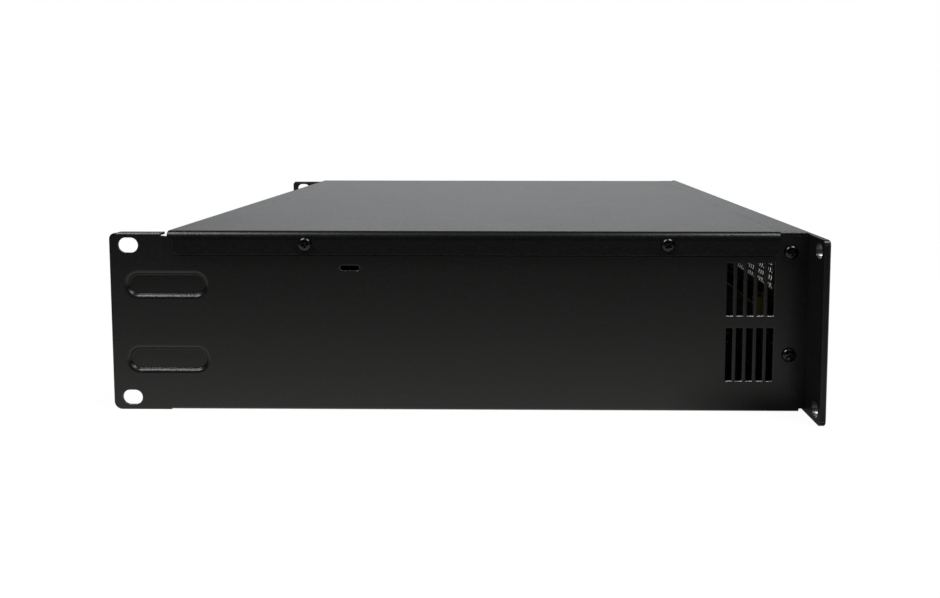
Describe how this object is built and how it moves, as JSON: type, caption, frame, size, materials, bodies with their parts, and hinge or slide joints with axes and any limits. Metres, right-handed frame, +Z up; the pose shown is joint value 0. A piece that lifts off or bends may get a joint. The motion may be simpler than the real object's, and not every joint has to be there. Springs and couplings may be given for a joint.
{
  "type": "power amplifier",
  "caption": "Black two-unit rack-mounting stereo power amplifier with vented steel case, rear rack ears, gain knobs, rocker switch, rear fans and connectors.",
  "frame": {"origin": "centre of the four front rack slots, on the rear face of the front panel (the rack mounting plane)", "axes": "+X to the right seen from the front, +Y toward the rear, +Z up; the front panel faces -Y"},
  "size_m": [0.4826, 0.3623, 0.0894],
  "materials": {
    "black_powder": "fine textured black powder coat",
    "panel_black": "fine textured black powder coat on the aluminium front panel",
    "zinc_steel": "bright zinc-plated steel",
    "black_screw": "black zinc, satin",
    "zinc_screw": "bright zinc",
    "grille_black": "black powder coat",
    "knob_black": "satin moulded",
    "black_plastic": "satin moulded",
    "black_gloss": "glossy moulded",
    "shaft_brass": "nickelled brass",
    "nickel": "bright nickel",
    "pcb_green": "solder-masked glass-fibre board",
    "led_lens": "diffused lens",
    "sink_aluminium": "extruded, plain",
    "device_black": "moulded epoxy",
    "toroid_wrap": "polyester film over copper windings",
    "rubber_black": "plain",
    "cap_sleeve": "shrink sleeve",
    "relay_case": "moulded",
    "guard_chrome": "bright nickel-plated wire",
    "post_red": "glossy moulded",
    "post_black": "glossy moulded",
    "slider_white": "moulded",
    "button_white": "moulded",
    "wire_sleeve": "PVC sleeving",
    "latch_steel": "plain pressed tab"
  },
  "bodies": {
    "chassis": {"base_pan": "black_powder", "front_frame": "black_powder", "rear_panel": "black_powder", "top_cover": "black_powder", "front_panel": "panel_black", "front_grille": "grille_black", "case_screws": "black_screw", "bottom_screws": "black_screw", "front_panel_screws": "black_screw", "rear_screws": "black_screw", "fan_screws": "black_screw", "board_screws": "zinc_screw", "board_standoffs": "zinc_steel", "gain_pots": "zinc_steel", "pot_nuts": "nickel", "power_switch_housing": "black_plastic", "control_board": "pcb_green", "indicator_leds": "led_lens", "fan_frame_a": "black_plastic", "fan_frame_b": "black_plastic", "fan_guards": "guard_chrome", "heatsink_a": "sink_aluminium", "heatsink_b": "sink_aluminium", "output_transistors": "device_black", "amp_board_a": "pcb_green", "amp_board_b": "pcb_green", "toroidal_transformer": "toroid_wrap", "transformer_clamp": "zinc_steel", "transformer_bolt": "zinc_screw", "transformer_pads": "rubber_black", "bridge_rectifier": "device_black", "power_supply_board": "pcb_green", "reservoir_capacitors": "cap_sleeve", "output_relays": "relay_case", "input_board": "pcb_green", "mains_inlet": "black_plastic", "inlet_pins": "nickel", "breaker_body": "black_plastic", "input_sockets": "black_plastic", "link_sockets": "black_plastic", "speaker_sockets": "black_plastic", "output_terminals": "nickel", "post_bases": "black_plastic", "mode_switch": "zinc_steel", "internal_wiring": "wire_sleeve"},
    "gain_a": {"gain_knob_a": "knob_black", "pot_shaft_a": "shaft_brass"},
    "gain_b": {"gain_knob_b": "knob_black", "pot_shaft_b": "shaft_brass"},
    "power_rocker": {"power_rocker": "black_gloss"},
    "fan_rotor_a": {"fan_rotor_a": "black_plastic"},
    "fan_rotor_b": {"fan_rotor_b": "black_plastic"},
    "breaker_button": {"breaker_button": "button_white"},
    "input_latch_a": {"input_latch_a": "latch_steel"},
    "input_latch_b": {"input_latch_b": "latch_steel"},
    "mode_slider": {"mode_slider": "slider_white"},
    "post_cap_a_red": {"post_cap_a_red": "post_red"},
    "post_cap_a_black": {"post_cap_a_black": "post_black"},
    "post_cap_b_red": {"post_cap_b_red": "post_red"},
    "post_cap_b_black": {"post_cap_b_black": "post_black"}
  },
  "joints": [
    {"name": "gain_a_turn", "type": "hinge", "parent": "chassis", "child": "gain_a", "pos_m": [-0.096, -0.01, -0.021], "axis": [0, 1, 0], "range_deg": [-150, 150]},
    {"name": "gain_b_turn", "type": "hinge", "parent": "chassis", "child": "gain_b", "pos_m": [0.096, -0.01, -0.021], "axis": [0, 1, 0], "range_deg": [-150, 150]},
    {"name": "power_rocker_tilt", "type": "hinge", "parent": "chassis", "child": "power_rocker", "pos_m": [0.187, -0.0022, -0.004], "axis": [-1, 0, 0], "range_deg": [0, 16]},
    {"name": "fan_a_spin", "type": "hinge", "parent": "chassis", "child": "fan_rotor_a", "pos_m": [0.105, 0.3, 0], "axis": [0, 1, 0], "continuous": true},
    {"name": "fan_b_spin", "type": "hinge", "parent": "chassis", "child": "fan_rotor_b", "pos_m": [0.015, 0.3, 0], "axis": [0, 1, 0], "continuous": true},
    {"name": "breaker_trip", "type": "slide", "parent": "chassis", "child": "breaker_button", "axis": [0, 1, 0], "range_m": [0, 0.005]},
    {"name": "input_latch_a_press", "type": "slide", "parent": "chassis", "child": "input_latch_a", "axis": [0, -1, 0], "range_m": [0, 0.0014]},
    {"name": "input_latch_b_press", "type": "slide", "parent": "chassis", "child": "input_latch_b", "axis": [0, -1, 0], "range_m": [0, 0.0014]},
    {"name": "mode_select", "type": "slide", "parent": "chassis", "child": "mode_slider", "axis": [0, 0, 1], "range_m": [-0.0025, 0.0025]},
    {"name": "post_a_red_unscrew", "type": "slide", "parent": "chassis", "child": "post_cap_a_red", "axis": [0, 1, 0], "range_m": [0, 0.005]},
    {"name": "post_a_black_unscrew", "type": "slide", "parent": "chassis", "child": "post_cap_a_black", "axis": [0, 1, 0], "range_m": [0, 0.005]},
    {"name": "post_b_red_unscrew", "type": "slide", "parent": "chassis", "child": "post_cap_b_red", "axis": [0, 1, 0], "range_m": [0, 0.005]},
    {"name": "post_b_black_unscrew", "type": "slide", "parent": "chassis", "child": "post_cap_b_black", "axis": [0, 1, 0], "range_m": [0, 0.005]}
  ]
}
